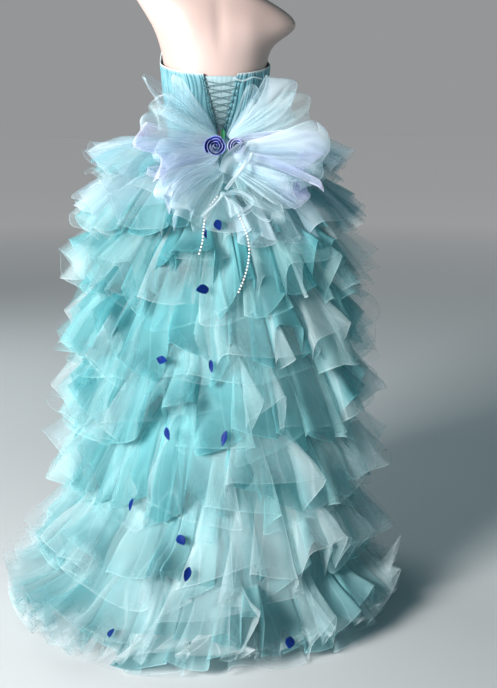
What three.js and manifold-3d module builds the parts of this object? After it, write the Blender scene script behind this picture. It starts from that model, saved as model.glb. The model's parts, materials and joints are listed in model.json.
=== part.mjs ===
// Strapless tiered tulle ball gown with a laced back, worn by a limbless dress form on a stand.
// Millimetres, +Z up. The laced back and the train face -Y, the plain front faces +Y, the floor is z = 0.
// An angle of 0 is the centre back, 90 degrees is +X and 180 degrees is the centre front.
import * as THREE from "three";
import { mergeVertices } from "three/addons/utils/BufferGeometryUtils.js";
import Module from "manifold-3d";

const wasm = await Module();
wasm.setup();

// Driving dimensions
const degree = Math.PI / 180;
const clothThickness = 2;
const tulleThickness = 1.5;
const trimThickness = 1.2;
const seamGap = 0.3;
const waistSeam = 1;
const waistZ = 1168;
const backNeckZ = 1328;
const sideSeamAngle = 96 * degree;
const bodiceClearance = 4.8;
const modestyClearance = 2;
const laceRadius = 1.5;
const laceCrossings = 7;
const pearlRadius = 3.2;
const gatherRise = 1.5;

// Dress form: half width, back depth and front depth of the torso at each height
const formSections = [
  { z: 862, halfWidth: 146, back: 98, front: 92 },
  { z: 900, halfWidth: 162, back: 110, front: 100 },
  { z: 960, halfWidth: 168, back: 116, front: 102 },
  { z: 1040, halfWidth: 150, back: 102, front: 95 },
  { z: 1110, halfWidth: 124, back: 84, front: 84 },
  { z: 1168, halfWidth: 112, back: 76, front: 82 },
  { z: 1230, halfWidth: 118, back: 84, front: 92 },
  { z: 1290, halfWidth: 125, back: 92, front: 114 },
  { z: 1340, halfWidth: 129, back: 97, front: 122 },
  { z: 1385, halfWidth: 136, back: 98, front: 104 },
  { z: 1428, halfWidth: 156, back: 94, front: 88 },
  { z: 1472, halfWidth: 202, back: 82, front: 72 },
  { z: 1500, halfWidth: 212, back: 68, front: 58 },
  { z: 1524, halfWidth: 170, back: 58, front: 52 },
  { z: 1546, halfWidth: 98, back: 54, front: 50 },
  { z: 1576, halfWidth: 61, back: 50, front: 52 },
  { z: 1618, halfWidth: 55, back: 49, front: 53 },
  { z: 1656, halfWidth: 54, back: 49, front: 53 },
];
const formColumns = 28;
// The shoulder line slopes: it is higher on the -X side, from the tilt's start upwards
const shoulderTilt = { startZ: 1360, fullZ: 1470, slope: -0.2 };
const stand = { poleRadius: 16, baseRadius: 165, baseThickness: 12, hubRadius: 30, hubHeight: 45 };

// Bodice top edge: its height round the body, from the centre back to the sweetheart dip at the front
const neckline = [
  { angle: 0, z: 1328 },
  { angle: 45, z: 1332 },
  { angle: 80, z: 1344 },
  { angle: 100, z: 1362 },
  { angle: 125, z: 1402 },
  { angle: 145, z: 1414 },
  { angle: 165, z: 1394 },
  { angle: 180, z: 1366 },
];
const backOpening = { topHalfWidth: 40, bottomHalfWidth: 5, bottomZ: 1188 };

// Underskirt: outside half width, back depth and front depth at each height
const underskirtSections = [
  { z: 3, halfWidth: 292, back: 345, front: 270 },
  { z: 60, halfWidth: 286, back: 330, front: 265 },
  { z: 250, halfWidth: 270, back: 296, front: 250 },
  { z: 450, halfWidth: 254, back: 266, front: 230 },
  { z: 650, halfWidth: 236, back: 236, front: 205 },
  { z: 850, halfWidth: 212, back: 200, front: 178 },
  { z: 1000, halfWidth: 186, back: 160, front: 148 },
  { z: 1100, halfWidth: 148, back: 112, front: 112 },
  { z: waistZ - waistSeam, halfWidth: 119, back: 83, front: 89 },
];
const underskirtColumns = 36;

// Ruffle tiers, from the waist down: seam and hem height, the hem's reach to the sides, to the back and to
// the front, and the outward bulge of the tier between them
const tierShapes = [
  { seamZ: 1164, hemZ: 1118, side: 312, back: 250, front: 232, bulge: 10 },
  { seamZ: 1122, hemZ: 962, side: 350, back: 296, front: 272, bulge: 16 },
  { seamZ: 1014, hemZ: 796, side: 368, back: 326, front: 292, bulge: 16 },
  { seamZ: 868, hemZ: 622, side: 386, back: 350, front: 306, bulge: 16 },
  { seamZ: 705, hemZ: 456, side: 395, back: 374, front: 318, bulge: 16 },
  { seamZ: 540, hemZ: 288, side: 397, back: 408, front: 334, bulge: 14 },
  { seamZ: 372, hemZ: 122, side: 436, back: 484, front: 376, bulge: 4 },
  { seamZ: 226, hemZ: 26, side: 482, back: 624, front: 416, bulge: -22 },
];
// Their folds: how much lower the hem hangs at the back, how far its middle lies to +X and to the back,
// the number of ruffle waves and their depth at the hem
const tierFolds = [
  { drop: 58, shift: 6, setback: 0, waves: 16, depth: 20 },
  { drop: 20, shift: 6, setback: 0, waves: 18, depth: 22 },
  { drop: 6, shift: 8, setback: 0, waves: 19, depth: 23 },
  { drop: 0, shift: -2, setback: 0, waves: 20, depth: 24 },
  { drop: 0, shift: -2, setback: 10, waves: 21, depth: 24 },
  { drop: 0, shift: -4, setback: 35, waves: 21, depth: 24 },
  { drop: 0, shift: -48, setback: 95, waves: 22, depth: 22 },
  { drop: 0, shift: -60, setback: 170, waves: 23, depth: 19 },
];
const tierRows = tierShapes.map((shape, k) => ({ ...shape, ...tierFolds[k] }));
const columnsPerWave = 4;
const tierStrips = 2;
const floorTierStrips = 3;
const tierSeamClearance = 3.5;

// Back bow: each loop's side and root, reach, the angle it rises at, its lean away from the body, the tilt
// of its lower edge away from the body, and its width at the tip
const bowKnot = { y: -176, z: 1160, radius: 16, length: 48 };
const bowRows = [
  { piece: "fan", side: -1, y: -140, z: 1170, reach: 192, rise: 31, lean: 0.24, tilt: 0, width: 126 },
  { piece: "fan", side: 1, y: -140, z: 1170, reach: 172, rise: 36, lean: 0.24, tilt: 0, width: 142 },
  { piece: "organza", side: -1, y: -180, z: 1160, reach: 190, rise: -5, lean: 0.42, tilt: 0.45, width: 138 },
  { piece: "organza", side: 1, y: -180, z: 1160, reach: 196, rise: -6, lean: 0.42, tilt: 0.45, width: 138 },
  { piece: "puff", side: -1, y: -236, z: 1108, reach: 165, rise: -24, lean: 0.58, tilt: 0.5, width: 100 },
  { piece: "puff", side: 1, y: -236, z: 1108, reach: 170, rise: -24, lean: 0.58, tilt: 0.5, width: 104 },
];
const bowOpening = 12;
const bowGathers = 3;
const bowGatherDepth = 8;
const bowSteps = 9;
const bowRootWidth = 26;
const bowRootGap = 4;

// Flowers on the bow's knot, and the loose petals: the tier each lies on, its angle and place down the
// tier from seam to hem, its length and width, and its turn from hanging straight down
const roses = [
  { name: "rose_blue", x: -28, y: -210, z: 1156, radius: 23, colour: "blue" },
  { name: "rose_lilac", x: 24, y: -210, z: 1156, radius: 21, colour: "lilac" },
];
const rose = { turns: 2.6, columnsPerTurn: 10, height: 20, flare: 5, bud: 3, disc: 3 };
const petals = [
  { tier: 2, angle: -5, down: 0.84, length: 34, width: 23, turn: 15 },
  { tier: 2, angle: -11, down: 0.9, length: 30, width: 16, turn: 20 },
  { tier: 3, angle: -14, down: 0.85, length: 34, width: 27, turn: -70 },
  { tier: 4, angle: -26, down: 0.85, length: 38, width: 23, turn: 80 },
  { tier: 4, angle: -8.5, down: 0.88, length: 34, width: 18, turn: 12 },
  { tier: 5, angle: -24, down: 0.88, length: 38, width: 19, turn: 30 },
  { tier: 5, angle: -5, down: 0.91, length: 40, width: 19, turn: -20 },
  { tier: 6, angle: -37, down: 0.92, length: 32, width: 20, turn: 0 },
  { tier: 7, angle: -17, down: 0.56, length: 32, width: 22, turn: 40 },
  { tier: 7, angle: -13, down: 0.8, length: 38, width: 20, turn: -4 },
  { tier: 8, angle: -34, down: 0.8, length: 30, width: 22, turn: 20 },
  { tier: 8, angle: 16, down: 0.9, length: 38, width: 26, turn: -15 },
];
const petalLift = 2;
const petalCurl = 3;

// The rolled tulle tie under the roses, and the strings of pearls that hang from its knot
const tieRoute = [
  { x: 46, y: -262, z: 1134, width: 20 },
  { x: 28, y: -274, z: 1110, width: 17 },
  { x: 8, y: -282, z: 1088, width: 14 },
  { x: -12, y: -288, z: 1066, width: 11 },
];
const tieKnot = { x: -20, y: -292, z: 1053, radius: 8 };
const pearlRoutes = {
  pearl_string_left: [
    { x: -34, y: -296, z: 1047 },
    { x: -52, y: -302, z: 1026 },
    { x: -64, y: -311, z: 1000 },
    { x: -70, y: -328, z: 974 },
    { x: -74, y: -340, z: 948 },
    { x: -82, y: -345, z: 922 },
  ],
  pearl_string_right: [
    { x: -9, y: -299, z: 1043 },
    { x: 6, y: -304, z: 1020 },
    { x: 20, y: -314, z: 994 },
    { x: 30, y: -334, z: 964 },
    { x: 34, y: -346, z: 930 },
    { x: 30, y: -350, z: 894 },
    { x: 20, y: -352, z: 860 },
    { x: 8, y: -354, z: 832 },
  ],
};

// Finishes
function finish(color, roughness, metalness = 0) {
  return new THREE.MeshStandardMaterial({ color, roughness, metalness });
}

const finishes = {
  form: finish("#ecdad4", 0.45),
  steel: finish("#b8bcc0", 0.35, 0.9),
  satin: finish("#7fc4c6", 0.5),
  lining: finish("#4fb3b5", 0.8),
  tulle: finish("#a6dde0", 0.85),
  paleTulle: finish("#cfe6ee", 0.85),
  organza: finish("#b9bfe6", 0.4),
  blue: finish("#2a3fb0", 0.6),
  lilac: finish("#9aa6dc", 0.6),
  leaf: finish("#2f7d4a", 0.6),
  cord: finish("#5f9fa2", 0.6),
  pearl: finish("#f3efe8", 0.25),
};

const gown = new THREE.Group();

function addPiece(name, geometry, material) {
  const mesh = new THREE.Mesh(geometry, material);
  mesh.name = name;
  gown.add(mesh);
  return mesh;
}

const mix = (from, to, share) => from + (to - from) * share;
const clamp = (value, low, high) => Math.min(Math.max(value, low), high);

// A column of a table at a place between its rows, on a smooth curve through them
function smoothValue(table, along, column, at) {
  const last = table.length - 1;
  const above = table.findIndex((row) => row[along] >= at);
  const i = clamp((above < 0 ? last : above) - 1, 0, last - 1);
  const slope = (k) => {
    const low = table[Math.max(k - 1, 0)];
    const high = table[Math.min(k + 1, last)];
    return (high[column] - low[column]) / (high[along] - low[along]);
  };
  const span = table[i + 1][along] - table[i][along];
  const t = clamp((at - table[i][along]) / span, 0, 1);
  const start = table[i][column] * (1 + 2 * t) * (1 - t) ** 2 + span * slope(i) * t * (1 - t) ** 2;
  return start + table[i + 1][column] * t * t * (3 - 2 * t) + span * slope(i + 1) * t * t * (t - 1);
}

function sectionAt(table, z) {
  const at = (column) => smoothValue(table, "z", column, z);
  return { halfWidth: at("halfWidth"), back: at("back"), front: at("front") };
}

// A point on an oval section, some way out from it
function ovalPoint(section, angle, z, out = 0) {
  const depth = Math.cos(angle) > 0 ? section.back : section.front;
  const x = (section.halfWidth + out) * Math.sin(angle);
  return new THREE.Vector3(x, -(depth + out) * Math.cos(angle), z);
}

// Outward direction at a point of a grid of cloth, whose rows run down and columns run towards +angle
function gridNormal(grid, row, column, round) {
  const columns = grid[0].length;
  const left = round ? (column + columns - 1) % columns : Math.max(column - 1, 0);
  const right = round ? (column + 1) % columns : Math.min(column + 1, columns - 1);
  const above = Math.max(row - 1, 0);
  const below = Math.min(row + 1, grid.length - 1);
  const down = grid[below][column].clone().sub(grid[above][column]);
  const across = grid[row][right].clone().sub(grid[row][left]);
  return down.cross(across).normalize();
}

function movedOut(grid, distance, round) {
  return grid.map((row, r) =>
    row.map((point, c) => point.clone().addScaledVector(gridNormal(grid, r, c, round), distance)),
  );
}

function geometryOf(points, faces) {
  const geometry = new THREE.BufferGeometry();
  geometry.setAttribute("position", new THREE.Float32BufferAttribute(points.flatMap((p) => p.toArray()), 3));
  geometry.setIndex(faces);
  geometry.computeVertexNormals();
  return geometry;
}

// A wall of cloth between two grids of points, closed round its edges. A round wall joins up with itself.
function wallBetween(inner, outer, round) {
  const rows = inner.length;
  const columns = inner[0].length;
  const across = round ? columns : columns - 1;
  const points = [...outer.flat(), ...inner.flat()];
  const out = (r, c) => r * columns + (c % columns);
  const inn = (r, c) => rows * columns + out(r, c);
  const faces = [];
  const quad = (a, b, c, d) => faces.push(a, b, c, a, c, d);
  for (let c = 0; c < across; c++) {
    for (let r = 0; r < rows - 1; r++) {
      quad(out(r, c), out(r + 1, c), out(r + 1, c + 1), out(r, c + 1));
      quad(inn(r, c), inn(r, c + 1), inn(r + 1, c + 1), inn(r + 1, c));
    }
    quad(out(0, c), out(0, c + 1), inn(0, c + 1), inn(0, c));
    quad(out(rows - 1, c + 1), out(rows - 1, c), inn(rows - 1, c), inn(rows - 1, c + 1));
  }
  for (let r = 0; r < rows - 1 && !round; r++) {
    quad(out(r + 1, 0), out(r, 0), inn(r, 0), inn(r + 1, 0));
    quad(out(r, columns - 1), out(r + 1, columns - 1), inn(r + 1, columns - 1), inn(r, columns - 1));
  }
  return geometryOf(points, faces);
}

function clothWall(grid, thickness, round = false) {
  return wallBetween(grid, movedOut(grid, thickness, round), round);
}

// Rows and columns of points from a function of how far down and across the piece they are, from 0 to 1
function gridOf(rows, columns, pointAt, round = false) {
  const across = (c) => c / (round ? columns : columns - 1);
  return Array.from({ length: rows }, (_, r) =>
    Array.from({ length: columns }, (__, c) => pointAt(r / (rows - 1), across(c))),
  );
}

// A tube with closed ends along a smooth curve through some places
function tubeAlong(places, radius, sides, steps) {
  const curve = new THREE.CatmullRomCurve3(places.map((p) => new THREE.Vector3(p.x, p.y, p.z)));
  const shape = new THREE.Shape();
  shape.absarc(0, 0, radius, 0, 2 * Math.PI);
  const outline = new THREE.Shape(shape.getSpacedPoints(sides).slice(0, sides));
  return new THREE.ExtrudeGeometry(outline, { steps, extrudePath: curve, bevelEnabled: false });
}

function solidOf(geometry) {
  const bare = geometry.clone();
  bare.deleteAttribute("normal");
  bare.deleteAttribute("uv");
  const merged = mergeVertices(bare, 1e-3);
  const vertProperties = new Float32Array(merged.attributes.position.array);
  const triVerts = new Uint32Array(merged.index.array);
  return new wasm.Manifold(new wasm.Mesh({ numProp: 3, vertProperties, triVerts }));
}

// Two closed geometries fused into one
function fused(first, second) {
  const mesh = solidOf(first).add(solidOf(second)).getMesh();
  const geometry = new THREE.BufferGeometry();
  geometry.setAttribute("position", new THREE.BufferAttribute(new Float32Array(mesh.vertProperties), 3));
  geometry.setIndex(Array.from(mesh.triVerts));
  geometry.computeVertexNormals();
  return geometry;
}

// Dress form
function tilted(point) {
  const { startZ, fullZ, slope } = shoulderTilt;
  const share = THREE.MathUtils.smoothstep(point.z, startZ, fullZ);
  point.z += share * slope * point.x;
  return point;
}

function makeTorso() {
  const rings = formSections.map((section) =>
    Array.from({ length: formColumns }, (_, c) =>
      tilted(ovalPoint(section, (2 * Math.PI * c) / formColumns, section.z)),
    ),
  );
  const middle = (ring) => ring.reduce((sum, p) => sum.add(p), new THREE.Vector3()).divideScalar(formColumns);
  const points = [...rings.flat(), middle(rings[0]), middle(rings.at(-1))];
  const bottom = points.length - 2;
  const top = points.length - 1;
  const at = (r, c) => r * formColumns + (c % formColumns);
  const faces = [];
  for (let c = 0; c < formColumns; c++) {
    for (let r = 0; r < rings.length - 1; r++) {
      faces.push(at(r, c), at(r, c + 1), at(r + 1, c + 1), at(r, c), at(r + 1, c + 1), at(r + 1, c));
    }
    faces.push(bottom, at(0, c + 1), at(0, c), top, at(rings.length - 1, c), at(rings.length - 1, c + 1));
  }
  addPiece("form_torso", geometryOf(points, faces), finishes.form);
}

function turned(profile, segments) {
  const geometry = new THREE.LatheGeometry(profile.map(([r, z]) => new THREE.Vector2(r, z)), segments);
  return geometry.rotateX(Math.PI / 2);
}

function makeStand() {
  const { poleRadius, baseRadius, baseThickness, hubRadius, hubHeight } = stand;
  const rim = 4;
  const base = turned(
    [[0, 0], [baseRadius, 0], [baseRadius, baseThickness - rim], [baseRadius - rim, baseThickness],
      [hubRadius, baseThickness], [hubRadius - rim, hubHeight], [0, hubHeight]],
    32,
  );
  addPiece("form_base", base, finishes.steel);
  const poleTop = formSections[0].z - seamGap;
  const poleFoot = hubHeight + seamGap;
  const pole = turned([[0, poleFoot], [poleRadius, poleFoot], [poleRadius, poleTop], [0, poleTop]], 16);
  addPiece("form_pole", pole, finishes.steel);
}

// Bodice
function necklineZ(angle) {
  const fromBack = Math.abs(angle) / degree;
  return smoothValue(neckline, "angle", "z", Math.min(fromBack, 360 - fromBack));
}

function onBody(angle, z, out) {
  return ovalPoint(sectionAt(formSections, z), angle, z, out);
}

// The angle of the lacing edge of a back panel at a height
function lacingEdge(z) {
  const { topHalfWidth, bottomHalfWidth, bottomZ } = backOpening;
  const share = clamp((z - bottomZ) / (backNeckZ - bottomZ), 0, 1);
  return Math.asin(mix(bottomHalfWidth, topHalfWidth, share) / sectionAt(formSections, z).halfWidth);
}

function bodicePanel(rows, columns, edges) {
  return gridOf(rows, columns, (down, across) => {
    const guess = mix(edges(backNeckZ)[0], edges(backNeckZ)[1], across);
    const z = mix(necklineZ(guess), waistZ, down);
    const [from, to] = edges(z);
    return onBody(mix(from, to, across), z, bodiceClearance);
  });
}

function makeBodice() {
  const seam = seamGap / sectionAt(formSections, backNeckZ).halfWidth;
  const front = bodicePanel(8, 17, () => [sideSeamAngle + seam, 2 * Math.PI - sideSeamAngle - seam]);
  addPiece("bodice_front", clothWall(front, clothThickness), finishes.satin);
  const right = bodicePanel(6, 7, (z) => [lacingEdge(z), sideSeamAngle]);
  addPiece("bodice_back_right", clothWall(right, clothThickness), finishes.satin);
  const left = bodicePanel(6, 7, (z) => [-sideSeamAngle, -lacingEdge(z)]);
  addPiece("bodice_back_left", clothWall(left, clothThickness), finishes.satin);
}

function makeLacing() {
  const overlap = 12 * degree;
  const panelTop = backNeckZ - 10;
  const panel = gridOf(5, 7, (down, across) => {
    const z = mix(panelTop, backOpening.bottomZ + 4, down);
    const reach = lacingEdge(z) + overlap;
    return onBody(mix(-reach, reach, across), z, modestyClearance);
  });
  addPiece("modesty_panel", clothWall(panel, trimThickness), finishes.satin);
  const laceOut = bodiceClearance + clothThickness + laceRadius + seamGap;
  const laceTop = backNeckZ - 16;
  const laceFoot = backOpening.bottomZ + 8;
  const lace = (startSide) => {
    const places = [];
    for (let k = 0; k <= laceCrossings; k++) {
      const side = k % 2 ? -startSide : startSide;
      const z = mix(laceTop, laceFoot, k / laceCrossings);
      places.push(onBody(side * (lacingEdge(z) + 2 * degree), z, laceOut));
      const middleZ = mix(laceTop, laceFoot, (k + 0.5) / laceCrossings);
      if (k < laceCrossings) places.push(onBody(0, middleZ, laceOut));
    }
    return tubeAlong(places, laceRadius, 5, 4 * laceCrossings);
  };
  addPiece("back_lacing", fused(lace(1), lace(-1)), finishes.cord);
}

// Skirt
function makeUnderskirt() {
  const heights = underskirtSections.map((row) => row.z).reverse();
  const grid = heights.map((z) =>
    Array.from({ length: underskirtColumns }, (_, c) =>
      ovalPoint(sectionAt(underskirtSections, z), (2 * Math.PI * c) / underskirtColumns, z, -clothThickness),
    ),
  );
  addPiece("underskirt", clothWall(grid, clothThickness, true), finishes.lining);
}

// A point of a tier before it is ruffled: turn and down run from 0 to 1, round the body and down the tier
function tierBase(tier, turn, down) {
  const uneven = 0.035 * Math.sin(6 * Math.PI * turn + tier.seamZ) + 0.02 * Math.sin(10 * Math.PI * turn);
  const angle = 2 * Math.PI * turn + uneven;
  const seam = sectionAt(underskirtSections, tier.seamZ);
  const section = {
    halfWidth: mix(seam.halfWidth + tierSeamClearance, tier.side, down),
    back: mix(seam.back + tierSeamClearance, tier.back - tier.setback, down),
    front: mix(seam.front + tierSeamClearance, tier.front + tier.setback, down),
  };
  const behind = Math.max(0, Math.cos(angle)) ** 2;
  const arch = Math.sin(Math.PI * down);
  const z = mix(tier.seamZ, tier.hemZ - tier.drop * behind, down) + tier.bulge * arch;
  const point = ovalPoint(section, angle, z, 0.3 * Math.max(tier.bulge, 0) * arch);
  point.x += tier.shift * down;
  point.y -= tier.setback * down;
  return point;
}

// How far out of its tier a ruffle wave stands: crests and troughs of uneven depth, deepest at the hem
function ruffle(tier, turn, down) {
  const uneven = 0.8 + 0.2 * Math.sin(4 * Math.PI * turn + tier.waves) * Math.cos(14 * Math.PI * turn);
  return Math.cos(2 * Math.PI * tier.waves * turn) * uneven * mix(gatherRise, tier.depth, down);
}

const tierGrids = new Map();

function makeTier(tier, number) {
  const columns = tier.waves * columnsPerWave;
  const strips = number === tierRows.length ? floorTierStrips : tierStrips;
  const base = gridOf(strips + 1, columns, (down, turn) => tierBase(tier, turn, down), true);
  const grid = base.map((row, r) =>
    row.map((point, c) =>
      point.clone().addScaledVector(gridNormal(base, r, c, true), ruffle(tier, c / columns, r / strips)),
    ),
  );
  const outer = movedOut(grid, tulleThickness, true);
  tierGrids.set(number, outer);
  const material = number < 3 ? finishes.paleTulle : finishes.tulle;
  addPiece(`tier_${number}`, wallBetween(grid, outer, true), material);
}

// A place on the outside of a tier, between its points, and its outward direction there
function onTier(number, turn, down) {
  const grid = tierGrids.get(number);
  const columns = grid[0].length;
  const c = (((turn % 1) + 1) % 1) * columns;
  const r = clamp(down, 0, 1) * (grid.length - 1);
  const row = Math.min(Math.floor(r), grid.length - 2);
  const column = Math.floor(c) % columns;
  const next = (column + 1) % columns;
  const upper = grid[row][column].clone().lerp(grid[row][next], c - Math.floor(c));
  const lower = grid[row + 1][column].clone().lerp(grid[row + 1][next], c - Math.floor(c));
  const across = grid[row][next].clone().sub(grid[row][column]);
  const normal = lower.clone().sub(upper).cross(across).normalize();
  return { point: upper.lerp(lower, r - row), normal };
}

// A loose petal: a pointed oval made from its tier's points, moved out, with its edges curled up
function makePetal(petal, number) {
  const { tier, angle, down, length, width } = petal;
  const turn = angle / 360;
  const step = 0.01;
  const centre = onTier(tier, turn, down).point;
  const perTurn = onTier(tier, turn + step, down).point.distanceTo(centre) / step;
  const perDown = onTier(tier, turn, down - step).point.distanceTo(centre) / step;
  const cos = Math.cos(petal.turn * degree);
  const sin = Math.sin(petal.turn * degree);
  const grid = gridOf(5, 4, (along, side) => {
    const outline = Math.max(0.12, Math.sin(Math.PI * along ** 0.8) ** 0.7);
    const x = (side - 0.5) * width * outline;
    const y = (along - 0.5) * length;
    const place = onTier(tier, turn + (x * cos + y * sin) / perTurn, down + (y * cos - x * sin) / perDown);
    const curl = petalCurl * (2 * side - 1) ** 2 * outline;
    return place.point.addScaledVector(place.normal, petalLift + curl);
  });
  addPiece(`petal_${number}`, clothWall(grid, trimThickness), finishes.blue);
}

// Bow
function makeBowLoop(loop) {
  const rise = loop.rise * degree;
  const axis = new THREE.Vector3(loop.side * Math.cos(rise), -loop.lean, Math.sin(rise)).normalize();
  const widthway = new THREE.Vector3(-loop.side * Math.sin(rise), loop.tilt, Math.cos(rise)).normalize();
  const depthway = new THREE.Vector3().crossVectors(widthway, axis).normalize().multiplyScalar(loop.side);
  const root = new THREE.Vector3(loop.side * (bowKnot.radius + bowRootGap), loop.y, loop.z);
  const grid = gridOf(bowSteps, 2 * bowGathers + 1, (along, across) => {
    const out = Math.sin(Math.PI * along);
    const sheet = bowRootGap * (2 * along - 1) - bowOpening * Math.sin(2 * Math.PI * along);
    const gather = bowGatherDepth * out * Math.cos(2 * Math.PI * bowGathers * across);
    const width = mix(bowRootWidth, loop.width, out ** 0.8);
    return root
      .clone()
      .addScaledVector(axis, loop.reach * out)
      .addScaledVector(depthway, sheet + gather)
      .addScaledVector(widthway, (across - 0.5) * width);
  });
  const name = `bow_${loop.piece}_${loop.side < 0 ? "left" : "right"}`;
  const material = loop.piece === "organza" ? finishes.organza : finishes.paleTulle;
  addPiece(name, clothWall(grid, tulleThickness), material);
}

function makeBowKnot() {
  const { y, z, radius, length } = bowKnot;
  const soft = 8;
  const half = length / 2;
  const profile = [[0, -half], [radius - soft, -half], [radius, -half + soft], [radius, half - soft],
    [radius - soft, half], [0, half]];
  const knot = turned(profile, 14).rotateX(Math.PI / 2);
  knot.translate(0, y, z);
  addPiece("bow_knot", knot, finishes.paleTulle);
}

// A ribbon rose: a spiral of cloth that flares towards its outer turns, fused to a disc
function makeRose({ name, x, y, z, radius, colour }) {
  const columns = Math.round(rose.turns * rose.columnsPerTurn);
  const spiral = gridOf(3, columns, (down, along) => {
    const angle = 2 * Math.PI * rose.turns * along;
    const lip = 1 - down;
    const reach = mix(rose.bud, radius - rose.flare - trimThickness, along) + rose.flare * along * lip ** 2;
    const height = rose.height * lip * (1 - 0.35 * along + 0.06 * Math.sin(3 * angle));
    return new THREE.Vector3(reach * Math.cos(angle), reach * Math.sin(angle), height);
  });
  const disc = turned([[0, -rose.disc], [radius - 7, -rose.disc], [radius - 5, 1], [0, 1]], 14);
  const flower = fused(clothWall(spiral, trimThickness), disc);
  const mesh = addPiece(name, flower, finishes[colour]);
  mesh.position.set(x, y, z);
  mesh.rotation.x = 78 * degree;
}

function makeLeaf() {
  const leaf = { x: -10, y: -213, z: 1187, length: 30, width: 13 };
  const grid = gridOf(5, 3, (along, across) => {
    const outline = Math.max(0.1, Math.sin(Math.PI * along));
    const fold = 3 * Math.abs(2 * across - 1);
    return new THREE.Vector3(
      leaf.x + (across - 0.5) * leaf.width * outline,
      leaf.y - fold - 6 * Math.sin(Math.PI * along),
      leaf.z + leaf.length * (0.5 - along),
    );
  });
  addPiece("rose_leaf", clothWall(grid, trimThickness), finishes.leaf);
}

// Tie and pearls
function makeTie() {
  const roll = 3;
  const across = [-1, 0, 1];
  const grid = tieRoute.map(({ x, y, z, width }) =>
    across.map((side) => {
      const bow = roll * (1 - side * side);
      return new THREE.Vector3(x + side * 0.4 * width, y - bow, z + side * 0.3 * width);
    }),
  );
  addPiece("tulle_tie", clothWall(grid, tulleThickness), finishes.paleTulle);
  const knot = new THREE.SphereGeometry(tieKnot.radius, 10, 6).scale(1, 0.7, 0.9);
  knot.translate(tieKnot.x, tieKnot.y, tieKnot.z);
  addPiece("tulle_tie_knot", knot, finishes.paleTulle);
  for (const [name, route] of Object.entries(pearlRoutes)) {
    addPiece(name, tubeAlong(route, pearlRadius, 6, 2 * route.length), finishes.pearl);
  }
}

makeTorso();
makeStand();
makeBodice();
makeLacing();
makeUnderskirt();
tierRows.forEach((tier, k) => makeTier(tier, k + 1));
petals.forEach((petal, k) => makePetal(petal, k + 1));
makeBowKnot();
bowRows.forEach(makeBowLoop);
roses.forEach(makeRose);
makeLeaf();
makeTie();

export default gown;
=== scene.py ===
import json
import math

import bpy
import numpy as np
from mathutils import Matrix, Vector

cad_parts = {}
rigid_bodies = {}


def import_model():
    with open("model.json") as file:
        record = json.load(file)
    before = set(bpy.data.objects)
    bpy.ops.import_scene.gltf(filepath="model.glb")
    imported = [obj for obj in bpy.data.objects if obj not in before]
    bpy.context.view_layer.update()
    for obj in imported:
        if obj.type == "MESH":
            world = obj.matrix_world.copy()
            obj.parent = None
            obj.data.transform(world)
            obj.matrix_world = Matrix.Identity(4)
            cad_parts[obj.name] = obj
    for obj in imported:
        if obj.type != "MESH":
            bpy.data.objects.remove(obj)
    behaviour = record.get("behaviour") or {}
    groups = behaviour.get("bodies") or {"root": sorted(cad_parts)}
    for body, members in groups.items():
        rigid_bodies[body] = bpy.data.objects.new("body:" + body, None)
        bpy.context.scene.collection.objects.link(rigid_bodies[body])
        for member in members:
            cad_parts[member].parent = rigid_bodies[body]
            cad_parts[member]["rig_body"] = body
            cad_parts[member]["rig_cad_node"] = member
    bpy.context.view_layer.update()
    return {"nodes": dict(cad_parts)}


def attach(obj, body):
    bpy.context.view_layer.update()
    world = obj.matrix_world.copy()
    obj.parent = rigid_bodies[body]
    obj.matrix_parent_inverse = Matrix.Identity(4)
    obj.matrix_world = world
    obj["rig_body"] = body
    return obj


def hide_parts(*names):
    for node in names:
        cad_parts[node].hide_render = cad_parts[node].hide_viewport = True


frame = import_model()
bpy.ops.object.select_all(action="DESELECT")
scene = bpy.context.scene
mm = 0.001
print("frame loaded:", len(frame["nodes"]), "nodes")


# camera, lights and floor

cameraSet = {"lens": 60.2, "place": (-0.363, -2.958, 1.287), "pitch": 12.4, "heading": -8.6}
lightSet = {
    "key": {"place": (-3.2, -2.7, 1.9), "aim": (0, -0.1, 0.75), "size": 1.4, "power": 370, "tint": (1.0, 0.98, 0.97)},
    "fill": {"place": (2.9, -2.6, 1.5), "aim": (0, 0, 0.7), "size": 2.4, "power": 6, "tint": (0.3, 0.92, 1.0)},
    "rim": {"place": (-1.6, 2.6, 2.6), "aim": (0, 0, 0.8), "size": 1.8, "power": 45, "tint": (0.9, 0.98, 1.0)},
}
backdropSet = {
    "floor": (0.62, 0.63, 0.64, 1),
    "far": (0.262, 0.238, 0.232, 1),
    "horizon": (0.3, 0.305, 0.31, 1),
    "sky": (0.05, 0.1, 0.115, 1),
    "size": 60,
}


def setCamera():
    turn = (math.radians(90 - cameraSet["pitch"]), 0, math.radians(cameraSet["heading"]))
    bpy.ops.object.camera_add(location=cameraSet["place"], rotation=turn)
    camera = bpy.context.object
    camera.data.lens = cameraSet["lens"]
    camera.data.sensor_width = 36
    scene.camera = camera


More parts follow.
